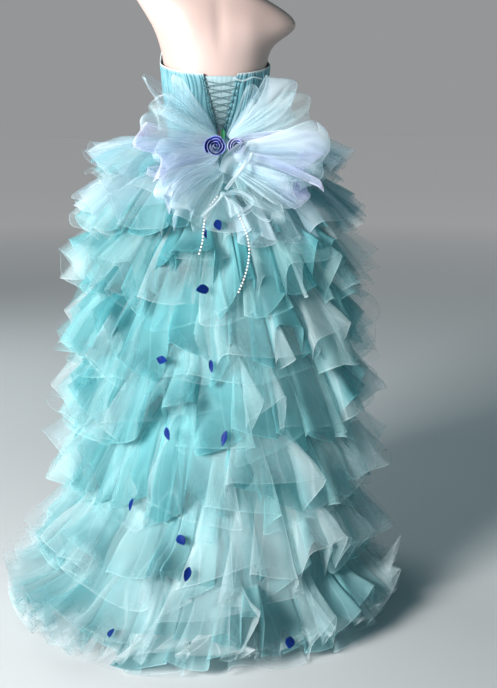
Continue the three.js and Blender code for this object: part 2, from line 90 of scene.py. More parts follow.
def setLights():
    for name, light in lightSet.items():
        place = Vector(light["place"])
        turn = (Vector(light["aim"]) - place).to_track_quat("-Z", "Y").to_euler()
        bpy.ops.object.light_add(type="AREA", location=place, rotation=turn)
        lamp = bpy.context.object
        lamp.name = name + "Light"
        lamp.data.size = light["size"]
        lamp.data.energy = light["power"]
        lamp.data.color = light["tint"]
    world = bpy.data.worlds.new("softAir")
    world.use_nodes = True
    nodes = world.node_tree.nodes
    way = nodes.new("ShaderNodeTexCoord")
    height = nodes.new("ShaderNodeSeparateXYZ")
    ramp = nodes.new("ShaderNodeValToRGB")
    ramp.color_ramp.elements[0].position = 0.1
    ramp.color_ramp.elements[0].color = backdropSet["horizon"]
    ramp.color_ramp.elements[1].position = 0.2
    ramp.color_ramp.elements[1].color = backdropSet["sky"]
    links = world.node_tree.links
    links.new(way.outputs["Generated"], height.inputs[0])
    links.new(height.outputs["Z"], ramp.inputs[0])
    links.new(ramp.outputs[0], nodes["Background"].inputs["Color"])
    scene.world = world
    scene.view_settings.view_transform = "Standard"
    scene.cycles.transparent_max_bounces = 10
    world.cycles.sampling_method = "NONE"
    scene.cycles.max_bounces = 4
    scene.cycles.diffuse_bounces = 2
    scene.cycles.transmission_bounces = 2


# shader maths: a value is a socket that does arithmetic, and a finish makes a material's nodes


class Value:
    def __init__(self, finish, socket):
        self.finish = finish
        self.socket = socket

    def combine(self, operation, first, second):
        return self.finish.node("ShaderNodeMath", {"operation": operation}, {0: first, 1: second})

    def __add__(self, other):
        return self.combine("ADD", self, other)

    __radd__ = __add__

    def __sub__(self, other):
        return self.combine("SUBTRACT", self, other)

    def __rsub__(self, other):
        return self.combine("SUBTRACT", other, self)

    def __mul__(self, other):
        return self.combine("MULTIPLY", self, other)

    def size(self):
        return self.combine("ABSOLUTE", self, 0.0)

    def clamped(self, low, high):
        return self.finish.node("ShaderNodeClamp", {}, {"Value": self, "Min": low, "Max": high})


class Finish:
    def __init__(self, name):
        self.material = bpy.data.materials.new(name)
        self.material.use_nodes = True
        self.tree = self.material.node_tree
        self.tree.nodes.clear()

    def node(self, kind, settings, inputs, output=0):
        made = self.tree.nodes.new(kind)
        for key, value in settings.items():
            setattr(made, key, value)
        for key, value in inputs.items():
            if isinstance(value, Value):
                self.tree.links.new(value.socket, made.inputs[key])
            else:
                made.inputs[key].default_value = value
        return Value(self, made.outputs[output]) if made.outputs else None

    def place(self, scale):
        spot = self.node("ShaderNodeTexCoord", {}, {}, "Object")
        return self.node("ShaderNodeMapping", {}, {"Vector": spot, "Scale": scale})

    def cloth(self, scale):
        spot = self.node("ShaderNodeUVMap", {"uv_map": "cloth"}, {})
        return self.node("ShaderNodeMapping", {}, {"Vector": spot, "Scale": scale})

    def noise(self, spot, scale, detail=2.0):
        flat = {"noise_dimensions": "2D"}
        return self.node("ShaderNodeTexNoise", flat, {"Vector": spot, "Scale": scale, "Detail": detail})

    def speckle(self, scale, detail=2.0):
        spot = self.place((1, 1, 1))
        return self.node("ShaderNodeTexNoise", {}, {"Vector": spot, "Scale": scale, "Detail": detail})

    def painted(self, name):
        return self.node("ShaderNodeAttribute", {"attribute_name": name}, {}, "Fac")

    def blend(self, share, first, second):
        kinds = {"data_type": "RGBA"}
        return self.node("ShaderNodeMix", kinds, {0: share, 6: first, 7: second}, 2)

    def bump(self, height, distance, strength=1.0):
        return self.node("ShaderNodeBump", {}, {"Height": height, "Distance": distance, "Strength": strength})

    def body(self, **inputs):
        return self.node("ShaderNodeBsdfPrincipled", {}, {k.replace("_", " "): v for k, v in inputs.items()})

    def mixed(self, share, first, second):
        return self.node("ShaderNodeMixShader", {}, {0: share, 1: first, 2: second})

    def done(self, shader):
        self.node("ShaderNodeOutputMaterial", {}, {"Surface": shader})
        return self.material


def rgba(red, green, blue):
    return (red, green, blue, 1.0)


# sheer net: threads and gather lines in its cover, with painted highlights where it folds and along its cut edge,
# where it is also denser
tulleTones = {
    "snow": {"pale": rgba(0.92, 0.97, 0.98), "deep": rgba(0.46, 0.81, 0.86), "cover": 0.31, "lines": 0.7},
    "aqua": {"pale": rgba(0.72, 0.95, 0.96), "deep": rgba(0.22, 0.7, 0.74), "cover": 0.34, "lines": 0.6},
    "teal": {
        "pale": rgba(0.42, 0.8, 0.83), "deep": rgba(0.08, 0.48, 0.54), "cover": 0.52, "lines": 0.8, "sheer": False,
    },
    "wash": {
        "pale": rgba(0.66, 0.92, 0.94), "deep": rgba(0.24, 0.66, 0.71), "cover": 0.52, "lines": 1.0, "sheer": False,
    },
    "mist": {"pale": rgba(0.93, 0.98, 1.0), "deep": rgba(0.56, 0.83, 0.95), "cover": 0.42, "lines": 0.18},
    "froth": {"pale": rgba(0.96, 0.98, 0.99), "deep": rgba(0.6, 0.86, 0.9), "cover": 0.36, "lines": 1.5},
    "rolled": {"pale": rgba(0.95, 0.98, 1.0), "deep": rgba(0.7, 0.9, 0.96), "cover": 0.62, "lines": 0.5},
}


def tulleFinish(name, pale, deep, cover, lines, sheer=True):
    finish = Finish(name)
    streak = finish.noise(finish.cloth((40, 3, 1)), 1.0, 0.0)
    wisp = finish.noise(finish.cloth((15, 2.6, 1)), 1.0, 0.0)
    line = (1 - (wisp - 0.5).size() * 26).clamped(0.0, 1.0)
    patch = finish.painted("patch")
    foldHighlight = finish.painted("foldHighlight")
    edge = finish.painted("edge")
    dense = finish.painted("dense")
    # painted highlight: fold flanks and the cut edge are painted brighter, paler and less sheer
    bright = streak * (0.16 * lines) + line * (0.15 * lines) + foldHighlight * 0.3 + edge * 0.22
    share = (bright + patch * 0.3 + dense + (cover - 0.28 - 0.08 * lines)).clamped(0.03, 0.94)
    tint = (patch * 0.75 + bright * 0.9 - 0.1).clamped(0.0, 1.0)
    colour = finish.blend(tint, deep, pale)
    front = finish.body(Base_Color=colour, Roughness=0.8, Specular_IOR_Level=0.0)
    through = finish.node("ShaderNodeBsdfTranslucent", {}, {"Color": colour})
    clear = finish.node("ShaderNodeBsdfTransparent", {}, {})
    material = finish.done(finish.mixed(share, clear, finish.mixed(0.4, front, through)))
    material.use_transparent_shadow = sheer
    return material


def organzaFinish():
    finish = Finish("organza")
    streak = finish.noise(finish.cloth((70, 5, 1)), 1.0, 3.0)
    shot = finish.noise(finish.cloth((9, 14, 1)), 1.0, 1.0)
    foldHighlight = finish.painted("foldHighlight")
    edge = finish.painted("edge")
    warm = finish.blend((shot * 2.2 - 0.6).clamped(0.0, 1.0), rgba(0.5, 0.54, 0.88), rgba(0.84, 0.89, 0.98))
    # painted highlight: where the loop folds over and along its edges the organza is painted pinkish white and less
    # sheer
    colour = finish.blend((foldHighlight * 0.7 + edge * 0.4).clamped(0.0, 1.0), warm, rgba(0.93, 0.88, 0.96))
    share = (streak * 0.14 + foldHighlight * 0.25 + edge * 0.35 + 0.25).clamped(0.1, 0.95)
    dent = finish.bump(streak, 0.003, 0.2)
    front = finish.body(Base_Color=colour, Roughness=0.3, Normal=dent, Sheen_Weight=0.4, Coat_Weight=0.25)
    through = finish.node("ShaderNodeBsdfTranslucent", {}, {"Color": colour})
    clear = finish.node("ShaderNodeBsdfTransparent", {}, {})
    return finish.done(finish.mixed(share, clear, finish.mixed(0.35, front, through)))


def silkFinish(name, light, dark, rim=None):
    finish = Finish(name)
    vein = finish.noise(finish.cloth((60, 6, 1)), 1.0, 3.0)
    patch = finish.speckle(70.0)
    edge = finish.painted("edge")
    share = (vein * 0.7 + patch * 0.5 - 0.3).clamped(0.0, 1.0)
    colour = finish.blend(edge * 0.85, finish.blend(share, dark, light), rim or light)
    dent = finish.bump(vein, 0.002, 0.5)
    return finish.done(finish.body(Base_Color=colour, Roughness=0.5, Normal=dent, Specular_IOR_Level=0.12))


def satinFinish():
    finish = Finish("ruchedSatin")
    thread = finish.noise(finish.cloth((160, 8, 1)), 1.0, 3.0)
    patch = finish.speckle(16.0)
    foldHighlight = finish.painted("foldHighlight")
    edge = finish.painted("edge")
    # painted highlight and shade: pleat crests are painted lighter, the hollows between pleats darker
    share = (foldHighlight * 0.8 + thread * 0.35 + patch * 0.4 - 0.38).clamped(0.0, 1.0)
    colour = finish.blend(share, rgba(0.045, 0.19, 0.23), rgba(0.17, 0.4, 0.46))
    trimmed = finish.blend((edge * 0.8).clamped(0.0, 1.0), colour, rgba(0.86, 0.94, 0.95))
    rough = (0.58 - foldHighlight * 0.16).clamped(0.3, 0.8)
    dent = finish.bump(thread, 0.002, 0.5)
    return finish.done(finish.body(Base_Color=trimmed, Roughness=rough, Normal=dent, Sheen_Weight=0.1))


def liningFinish():
    finish = Finish("tealLining")
    streak = finish.noise(finish.cloth((40, 3, 1)), 1.0, 3.0)
    patch = finish.noise(finish.cloth((6, 6, 1)), 1.0)
    weave = finish.noise(finish.cloth((900, 900, 1)), 1.0, 1.0)
    share = (streak * 0.8 + patch * 0.5 - 0.3).clamped(0.0, 1.0)
    colour = finish.blend(share, rgba(0.05, 0.4, 0.43), rgba(0.22, 0.66, 0.68))
    dent = finish.bump(streak + weave * 0.1, 0.004, 0.5)
    return finish.done(finish.body(Base_Color=colour, Roughness=0.7, Normal=dent, Sheen_Weight=0.2))


def skinFinish():
    finish = Finish("formSkin")
    blush = finish.speckle(5.0)
    grain = finish.speckle(420.0, 1.0)
    colour = finish.blend((blush * 1.4 - 0.3).clamped(0.0, 1.0), rgba(0.55, 0.4, 0.36), rgba(0.63, 0.49, 0.45))
    rough = (0.36 + grain * 0.16).clamped(0.2, 0.7)
    dent = finish.bump(grain, 0.0003, 0.3)
    return finish.done(finish.body(Base_Color=colour, Roughness=rough, Normal=dent, Coat_Weight=0.1))


def steelFinish():
    finish = Finish("standSteel")
    spot = finish.place((4, 4, 300))
    brushed = finish.node("ShaderNodeTexNoise", {}, {"Vector": spot, "Scale": 6.0, "Detail": 4.0})
    colour = finish.blend(brushed, rgba(0.5, 0.51, 0.53), rgba(0.68, 0.69, 0.7))
    rough = (0.24 + brushed * 0.2).clamped(0.1, 0.7)
    return finish.done(finish.body(Base_Color=colour, Roughness=rough, Metallic=1.0))


def pearlFinish():
    finish = Finish("pearl")
    lustre = finish.speckle(240.0)
    colour = finish.blend(lustre, rgba(0.62, 0.6, 0.58), rgba(0.78, 0.77, 0.8))
    return finish.done(finish.body(Base_Color=colour, Roughness=0.22, Coat_Weight=0.6))


def floorFinish():
    finish = Finish("studioFloor")
    mottle = finish.speckle(3.0)
    colour = finish.blend(mottle * 0.12, backdropSet["floor"], rgba(0.54, 0.55, 0.57))
    # painted light: beyond about 1.4 m from the middle the floor glows, more with distance, so the far floor stays
    # bright up to the horizon
    away = finish.node("ShaderNodeVectorMath", {"operation": "LENGTH"}, {0: finish.place((1, 1, 1))}, "Value")
    glow = finish.blend((away * 0.14 - 0.2).clamped(0.0, 1.0), rgba(0, 0, 0), backdropSet["far"])
    return finish.done(finish.body(Base_Color=colour, Roughness=0.85, Emission_Color=glow, Emission_Strength=1.0))


tulle = {tone: tulleFinish(tone + "Tulle", **values) for tone, values in tulleTones.items()}
organza = organzaFinish()
blueSilk = silkFinish("blueSilk", rgba(0.006, 0.05, 0.3), rgba(0.002, 0.008, 0.09))
violetSilk = silkFinish("violetSilk", rgba(0.04, 0.06, 0.4), rgba(0.008, 0.008, 0.1), rgba(0.34, 0.4, 0.85))
lilacSilk = silkFinish("lilacSilk", rgba(0.24, 0.3, 0.65), rgba(0.06, 0.08, 0.32), rgba(0.8, 0.86, 1.0))
leafSilk = silkFinish("leafSilk", rgba(0.05, 0.26, 0.12), rgba(0.01, 0.1, 0.04))
cordSilk = silkFinish("cordSilk", rgba(0.34, 0.5, 0.52), rgba(0.08, 0.17, 0.19))
satin = satinFinish()
lining = liningFinish()
skin = skinFinish()
steel = steelFinish()
pearl = pearlFinish()

setCamera()
setLights()
bpy.ops.mesh.primitive_plane_add(size=backdropSet["size"])
floor = bpy.context.object
floor.name = "studioFloor"
floor.data.materials.append(floorFinish())
print("camera, lights and finishes made")


# cloth from grids of points: rows run down the piece and columns across it


def tableOf(columns, *rows):
    return [dict(zip(columns.split(), row)) for row in rows]


def smoothColumn(table, along, column, at):
    xs = np.array([row[along] for row in table], float)
    ys = np.array([row[column] for row in table], float)
    last = len(table) - 1
    low = np.maximum(np.arange(last + 1) - 1, 0)
    high = np.minimum(np.arange(last + 1) + 1, last)
    slope = (ys[high] - ys[low]) / (xs[high] - xs[low])
    at = np.asarray(at, float)
    i = np.clip(np.searchsorted(xs, at) - 1, 0, last - 1)
    span = xs[i + 1] - xs[i]
    t = np.clip((at - xs[i]) / span, 0, 1)
    start = ys[i] * (1 + 2 * t) * (1 - t) ** 2 + span * slope[i] * t * (1 - t) ** 2
    return start + ys[i + 1] * t * t * (3 - 2 * t) + span * slope[i + 1] * t * t * (t - 1)


def mix(first, second, share):
    return first + (second - first) * share


def ovalPoints(halfWidth, back, front, angle, z):
    depth = np.where(np.cos(angle) > 0, back, front)
    x, y, z = np.broadcast_arrays(halfWidth * np.sin(angle), -depth * np.cos(angle), z)
    return np.stack([x, y, z], -1)


def unevenRound(seed, turn, lowest, highest):
    dice = np.random.default_rng(seed)
    total = np.zeros_like(turn)
    for times in range(lowest, highest + 1):
        total = total + dice.uniform(0.4, 1) * np.sin(2 * np.pi * times * turn + dice.uniform(0, 2 * np.pi))
    return total / math.sqrt(0.5 * (highest - lowest + 1))


def gridNormals(grid, isRound):
    down = np.gradient(grid, axis=0)
    if isRound:
        across = (np.roll(grid, -1, 1) - np.roll(grid, 1, 1)) / 2
    else:
        across = np.gradient(grid, axis=1)
    normal = np.cross(down, across)
    return normal / (np.linalg.norm(normal, axis=-1, keepdims=True) + 1e-9)


def clothMesh(name, grid, finish, isRound=False, paint=None, wall=0.0):
    rows, columns = grid.shape[:2]
    index = np.arange(rows * columns).reshape(rows, columns)
    right = np.roll(index, -1, 1) if isRound else index[:, 1:]
    left = index if isRound else index[:, :-1]
    faces = np.stack([left[:-1], left[1:], right[1:], right[:-1]], -1).reshape(-1, 4)
    mesh = bpy.data.meshes.new(name)
    mesh.from_pydata((grid.reshape(-1, 3) * mm).tolist(), [], faces.tolist())
    step = np.linalg.norm(np.diff(grid, axis=1, append=grid[:, :1]), axis=-1).mean(0) * mm
    along = np.concatenate([[0], np.cumsum(step)])
    fall = np.linalg.norm(np.diff(grid, axis=0), axis=-1).mean(1) * mm
    downs = np.concatenate([[0], np.cumsum(fall)])
    wide = left.shape[1]
    c = np.broadcast_to(np.arange(wide), (rows - 1, wide))
    r = np.broadcast_to(np.arange(rows - 1)[:, None], (rows - 1, wide))
    us = np.stack([along[c], along[c], along[c + 1], along[c + 1]], -1).reshape(-1)
    vs = np.stack([downs[r], downs[r + 1], downs[r + 1], downs[r]], -1).reshape(-1)
    layer = mesh.uv_layers.new(name="cloth")
    layer.data.foreach_set("uv", np.stack([us, vs], -1).astype(np.float32).reshape(-1))
    for key, values in (paint or {}).items():
        spread = np.broadcast_to(values, (rows, columns)).astype(np.float32).reshape(-1)
        mesh.attributes.new(key, "FLOAT", "POINT").data.foreach_set("value", np.ascontiguousarray(spread))
    mesh.shade_smooth()
    piece = bpy.data.objects.new(name, mesh)
    scene.collection.objects.link(piece)
    mesh.materials.append(finish)
    if wall:
        applyModifier(piece, "SOLIDIFY", thickness=wall * mm, offset=0)
    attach(piece, "root")
    return piece


weldGap = 0.00002


def selectOnly(pieces):
    bpy.ops.object.select_all(action="DESELECT")
    for piece in pieces:
        piece.select_set(True)
    bpy.context.view_layer.objects.active = pieces[0]


def joined(pieces, name):
    selectOnly(pieces)
    bpy.ops.object.join()
    bpy.context.object.name = name
    return bpy.context.object


def applyModifier(piece, kind, **settings):
    selectOnly([piece])
    modifier = piece.modifiers.new(kind.lower(), kind)
    for key, value in settings.items():
        setattr(modifier, key, value)
    bpy.ops.object.modifier_apply(modifier=modifier.name)


def cutSize(grid, isRound=False):
    closed = np.concatenate([grid, grid[:, :1]], 1) if isRound else grid
    widths = np.linalg.norm(np.diff(closed, axis=1), axis=-1).sum(1)
    lengths = np.linalg.norm(np.diff(grid, axis=0), axis=-1).sum(0)
    return round(float(widths.mean()) * mm, 2), round(float(lengths.mean()) * mm, 3)


def clothArea(grid):
    wide, long = cutSize(grid)
    first = np.cross(grid[1:, :-1] - grid[:-1, :-1], grid[1:, 1:] - grid[:-1, :-1])
    second = np.cross(grid[1:, 1:] - grid[:-1, :-1], grid[:-1, 1:] - grid[:-1, :-1])
    total = (np.linalg.norm(first, axis=-1) + np.linalg.norm(second, axis=-1)).sum() / 2
    return min(round(float(total) * mm * mm, 5), wide * long)


def tubeMesh(name, route, radius, finish, sides=8):
    route = np.asarray(route, float)
    ahead = np.gradient(route, axis=0)
    ahead /= np.linalg.norm(ahead, axis=1, keepdims=True)
    hint = np.array([0.0, -1.0, 0.2])
    side = np.cross(ahead, hint)
    side /= np.linalg.norm(side, axis=1, keepdims=True)
    lift = np.cross(side, ahead)
    turn = np.arange(sides) * 2 * np.pi / sides
    ring = side[:, None] * np.cos(turn)[None, :, None] + lift[:, None] * np.sin(turn)[None, :, None]
    return clothMesh(name, route[:, None] + ring * radius, finish, True)


def smoothRoute(places, count):
    places = np.asarray(places, float)
    at = np.concatenate([[0], np.cumsum(np.linalg.norm(np.diff(places, axis=0), axis=1))])
    table = [{"s": s, "x": p[0], "y": p[1], "z": p[2]} for s, p in zip(at, places)]
    steps = np.linspace(0, at[-1], count)
    return np.stack([smoothColumn(table, "s", key, steps) for key in "xyz"], -1)


# a smoother copy of a solid, which stands for it
def refinedCopy(node, name, finish, levels, slot, **quads):
    piece = frame["nodes"][node].copy()
    piece.data = piece.data.copy()
    piece.name = name
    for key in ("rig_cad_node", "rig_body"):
        if key in piece:
            del piece[key]
    piece.parent = None
    scene.collection.objects.link(piece)
    selectOnly([piece])
    bpy.ops.object.mode_set(mode="EDIT")
    bpy.ops.mesh.select_all(action="SELECT")
    bpy.ops.mesh.remove_doubles(threshold=weldGap)
    bpy.ops.mesh.tris_convert_to_quads(**quads)
    bpy.ops.object.mode_set(mode="OBJECT")
    applyModifier(piece, "SUBSURF", levels=levels, render_levels=levels)
    piece.data.shade_smooth()
    piece.data.materials.clear()
    piece.data.materials.append(finish)
    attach(piece, "root")
    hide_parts(node)
    return piece


# dress form: the solid's own mesh, made smooth, with a soft spine and shoulder blades

formSet = {"smooth": 2, "backY": -20, "backLow": 1345, "backHigh": 1560}
spineSet = {"depth": 5.0, "width": 16}
bladeSet = {"rise": 5.0, "x": 78, "z": 1440, "width": 34, "height": 45}


def makeForm():
    quads = {"face_threshold": math.radians(60), "shape_threshold": math.radians(80)}
    torso = refinedCopy("form_torso", "dressFormBody", skin, formSet["smooth"], "form", **quads)
    low, high = formSet["backLow"], formSet["backHigh"]
    for vertex in torso.data.vertices:
        x, y, z = vertex.co / mm
        if y < formSet["backY"] and low < z < high:
            shade = math.sin(math.pi * (z - low) / (high - low)) ** 2
            groove = spineSet["depth"] * math.exp(-((x / spineSet["width"]) ** 2)) * shade
            aside = (abs(x) - bladeSet["x"]) / bladeSet["width"]
            above = (z - bladeSet["z"]) / bladeSet["height"]
            blade = bladeSet["rise"] * math.exp(-(aside**2) - above**2)
            vertex.co.y += (groove - blade) * mm
    for node in ("form_pole", "form_base"):
        frame["nodes"][node].data.materials.clear()
        frame["nodes"][node].data.materials.append(steel)


makeForm()
print("dress form made")


# bodice: fine uneven pleats that run down the panels, and a bright bound top edge

bodySections = tableOf(
    "z halfWidth back front",
    (1110, 124, 84, 84),
    (1168, 112, 76, 82),
    (1230, 118, 84, 92),
    (1290, 125, 92, 114),
    (1340, 129, 97, 122),
    (1385, 136, 98, 104),
    (1428, 156, 94, 88),
)
neckline = tableOf(
    "angle z",
    (0, 1325),
    (45, 1336),
    (80, 1351),
    (100, 1362),
    (125, 1402),
    (145, 1414),
    (165, 1394),
    (180, 1366),
)
bodiceSet = {"waist": 1160, "out": 6.0, "pleat": 3.0, "pleatEvery": 10, "seam": 96, "rows": 40, "wall": 1.6}
modestySet = {"rows": 30, "columns": 40, "under": 12, "out": 2.6, "ridges": 34, "rise": 0.5, "wall": 0.8}
openingSet = {"topHalf": 40, "bottomHalf": 5, "topZ": 1328, "bottomZ": 1188}


def onBody(angle, z, out):
    size = [smoothColumn(bodySections, "z", key, z) + out for key in ("halfWidth", "back", "front")]
    return ovalPoints(*size, angle, z)


def necklineZ(angle):
    turn = np.abs(np.degrees(angle))
    return smoothColumn(neckline, "angle", "z", np.minimum(turn, 360 - turn))


def lacingEdge(z):
    share = np.clip((z - openingSet["bottomZ"]) / (openingSet["topZ"] - openingSet["bottomZ"]), 0, 1)
    half = mix(openingSet["bottomHalf"], openingSet["topHalf"], share)
    return np.arcsin(half / smoothColumn(bodySections, "z", "halfWidth", z))


def bodicePanel(name, node, edges, columns, seed):
    across = np.linspace(0, 1, columns)[None, :]
    down = np.linspace(0, 1, bodiceSet["rows"])[:, None]
    first, second = edges(openingSet["topZ"])
    top = necklineZ(mix(first, second, across))
    z = mix(top, bodiceSet["waist"], down)
    first, second = edges(z)
    angle = mix(first, second, across) + 0 * z
    grid = onBody(angle, z, bodiceSet["out"])
    normal = gridNormals(grid, False)
    width = 125 * np.abs(second - first).mean()
    times = width / bodiceSet["pleatEvery"]
    wander = 0.9 * unevenRound(seed, across, 2, 9)
    wander = wander + 1.2 * unevenRound(seed + 1, down * 0.5 + across * 0.2, 1, 3)
    ridge = np.abs(np.sin(np.pi * times * across + wander)) ** 0.8
    depth = bodiceSet["pleat"] * (0.75 + 0.3 * unevenRound(seed + 2, across, 3, 11))
    hem = np.clip(down / 0.04, 0, 1)
    grid = grid + normal * (ridge * depth * hem + 1.6 * (1 - hem))[..., None]
    edge = np.clip(1 - down * np.abs(top - bodiceSet["waist"]) / 6, 0, 1)
    # the pleat ridges carry painted highlight on their crests and painted shade in the hollows
    piece = clothMesh(name, grid, satin, False, {"foldHighlight": ridge * hem, "edge": edge}, bodiceSet["wall"])
    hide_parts(node)


def makeBodice():
    seam = math.radians(bodiceSet["seam"])
    bodicePanel("bodiceFront", "bodice_front", lambda z: (seam, 2 * math.pi - seam), 420, 11)
    bodicePanel("bodiceBackRight", "bodice_back_right", lambda z: (lacingEdge(z), seam), 200, 21)
    bodicePanel("bodiceBackLeft", "bodice_back_left", lambda z: (-seam, -lacingEdge(z)), 200, 31)
    z = np.linspace(openingSet["topZ"] - 5, openingSet["bottomZ"] + 4, modestySet["rows"])[:, None]
    across = np.linspace(-1, 1, modestySet["columns"])[None, :]
    grid = onBody(across * (lacingEdge(z) + math.radians(modestySet["under"])), z, modestySet["out"])
    ridge = 0.5 + 0.5 * np.cos(across * modestySet["ridges"])
    normal = gridNormals(grid, False)
    grid = grid + normal * (modestySet["rise"] * ridge)[..., None]
    # the ridges carry painted highlight, the grooves between them painted shade
    paint = {"foldHighlight": 0.75 + 0.2 * ridge, "edge": 0.45 + 0 * z}
    panel = clothMesh("modestyPanel", grid, satin, False, paint, modestySet["wall"])
    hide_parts("modesty_panel")


makeBodice()
print("bodice made")


# lacing: two crossing cords through little loops along both edges

lacingSet = {"crossings": 7, "out": 9.6, "radius": 1.2, "top": 1312, "foot": 1196, "loopRadius": 0.7}


def makeLacing():
    cords = []
    for start in (1, -1):
        places = []
        for k in range(lacingSet["crossings"] + 1):
            side = -start if k % 2 else start
            z = mix(lacingSet["top"], lacingSet["foot"], k / lacingSet["crossings"])
            places.append(onBody(side * (lacingEdge(z) + math.radians(2)), z, lacingSet["out"]))
            if k < lacingSet["crossings"]:
                middle = mix(lacingSet["top"], lacingSet["foot"], (k + 0.5) / lacingSet["crossings"])
                lift = 1.8 if (k + (start > 0)) % 2 else 0
                places.append(onBody(0, middle, lacingSet["out"] - 1 + lift))
        route = smoothRoute(places, 150)
        cords.append(tubeMesh(f"laceCord{start}", route, lacingSet["radius"], cordSilk, 8))
    for k in range(lacingSet["crossings"] + 1):
        z = mix(lacingSet["top"], lacingSet["foot"], k / lacingSet["crossings"])
        for side in (1, -1):
            edge = side * (lacingEdge(z) + math.radians(0.5))
            far = side * (lacingEdge(z) + math.radians(5))
            loop = [onBody(far, z + 4, 9), onBody(mix(far, edge, 0.6), z + 3.6, 11), onBody(edge, z, 12),
                    onBody(mix(far, edge, 0.6), z - 3.6, 11), onBody(far, z - 4, 9)]
            cords.append(tubeMesh(f"laceLoop{k}{'R' if side > 0 else 'L'}", smoothRoute(loop, 14),
                                  lacingSet["loopRadius"], satin, 6))
    lacing = joined(cords, "backLacing")
    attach(lacing, "root")
    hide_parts("back_lacing")


makeLacing()
print("lacing made")


# underskirt: a soft gathered lining

underSections = tableOf(
    "z halfWidth back front",
    (3, 292, 345, 270),
    (60, 286, 330, 265),
    (250, 270, 296, 250),
    (450, 254, 266, 230),
    (650, 236, 236, 205),
    (850, 212, 200, 178),
    (1000, 186, 160, 148),
    (1100, 148, 112, 112),
    (1167, 119, 83, 89),
)
underSet = {
    "folds": 30, "depth": 9.0, "columns": 300, "rows": 40, "inset": 3.0, "top": 1166, "foot": 4, "growOver": 700,
}


def makeUnderskirt():
    z = np.linspace(underSet["top"], underSet["foot"], underSet["rows"])[:, None]
    turn = (np.arange(underSet["columns"]) / underSet["columns"])[None, :]
    size = [smoothColumn(underSections, "z", key, z) - underSet["inset"] for key in ("halfWidth", "back", "front")]
    grid = ovalPoints(*size, 2 * np.pi * turn, z)
    normal = gridNormals(grid, True)
    growth = np.clip((underSet["top"] - z) / underSet["growOver"], 0.12, 1)
    wave = np.cos(2 * np.pi * underSet["folds"] * turn + 1.5 * unevenRound(5, turn, 2, 8))
    grid = grid + normal * (wave * growth * underSet["depth"])[..., None]
    cloth = clothMesh("underskirtCloth", grid, lining, True)
    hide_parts("underskirt")


makeUnderskirt()
print("underskirt made")


# ruffle tiers: layers of stiff net, gathered into a seam and folded like ribbon candy at the hem

tierTable = tableOf(
    "seamZ hemZ side back front bulge drop shift setback folds",
    (1164, 1094, 314, 250, 232, 14, 34, 6, 0, 16),
    (1122, 962, 350, 296, 272, 16, 20, 6, 0, 18),
    (1014, 796, 368, 326, 292, 16, 6, 8, 0, 19),
    (868, 622, 386, 350, 306, 16, 0, -2, 0, 20),
    (705, 456, 395, 374, 318, 16, 0, -2, 10, 21),
    (540, 288, 397, 408, 334, 14, 0, -4, 35, 21),
    (372, 122, 436, 484, 376, 4, 0, -48, 95, 22),
    (226, 26, 479, 624, 416, -22, 0, -64, 170, 23),
)
# each layer: folds more than its tier, how far out it lies, how far its hem hangs lower, how far folds lap
layerTable = tableOf(
    "name tones more extra out lower depth lap thick seed",
    ("Outer", ("mist", "snow", "snow"), -6, 7, 6, -12, 42, 0.34, 0.14, 1),
    ("Middle", ("snow", "aqua", "snow"), -4, 6, -8, 8, 36, 0.34, 0.16, 2),
    ("Inner", ("teal", "teal", "wash"), 9, 4, -24, -30, 20, 0.2, 0.7, 3),
)
# froth of crushed net along the train's hem
frothRow = {
    "name": "Froth", "tones": ("froth", "froth", "froth"), "more": 14, "extra": 0, "out": 12, "lower": -16,
    "depth": 24, "lap": 0.6, "thick": 0.1, "seed": 4, "from": 0.72,
}
ruffleSet = {
    "rows": 17, "columnsPerFold": 18, "seamRise": 1.8, "hemRise": 0.1, "pleatsPerFold": 5, "seamClear": 6,
    "edgeFrom": 0.986, "flare": (-8, 30), "creases": 6, "creaseRise": 1.9, "bellyHigh": 22, "bellyLow": 8,
    "shortShare": 0.36, "short": (40, 110), "ragged": (0.5, 1.0, 1.8), "hem": (-26, 34), "sway": 11, "floorSoft": 6,
}


def tierBase(tier, turn, down):
    angle = 2 * np.pi * turn
    seam = {key: smoothColumn(underSections, "z", key, tier["seamZ"]) for key in ("halfWidth", "back", "front")}
    clear = ruffleSet["seamClear"]
    arch = np.sin(np.pi * down)
    bulge = 0.3 * max(tier["bulge"], 0) * arch
    halfWidth = mix(seam["halfWidth"] + clear, tier["side"], down) + bulge
    back = mix(seam["back"] + clear, tier["back"] - tier["setback"], down) + bulge
    front = mix(seam["front"] + clear, tier["front"] + tier["setback"], down) + bulge
    behind = np.maximum(0, np.cos(angle)) ** 2
    z = mix(tier["seamZ"], tier["hemZ"] - tier["drop"] * behind, down) + tier["bulge"] * arch
    points = ovalPoints(halfWidth, back, front, angle, z)
    points[..., 0] += tier["shift"] * down
    points[..., 1] -= tier["setback"] * down
    return points


def tierDirections(tier, turn, down):
    step = 0.002
    across = tierBase(tier, turn + step, down) - tierBase(tier, turn - step, down)
    fall = tierBase(tier, turn, down + step) - tierBase(tier, turn, down - step)
    normal = np.cross(fall, across)
    return normal / np.linalg.norm(normal, axis=-1, keepdims=True)


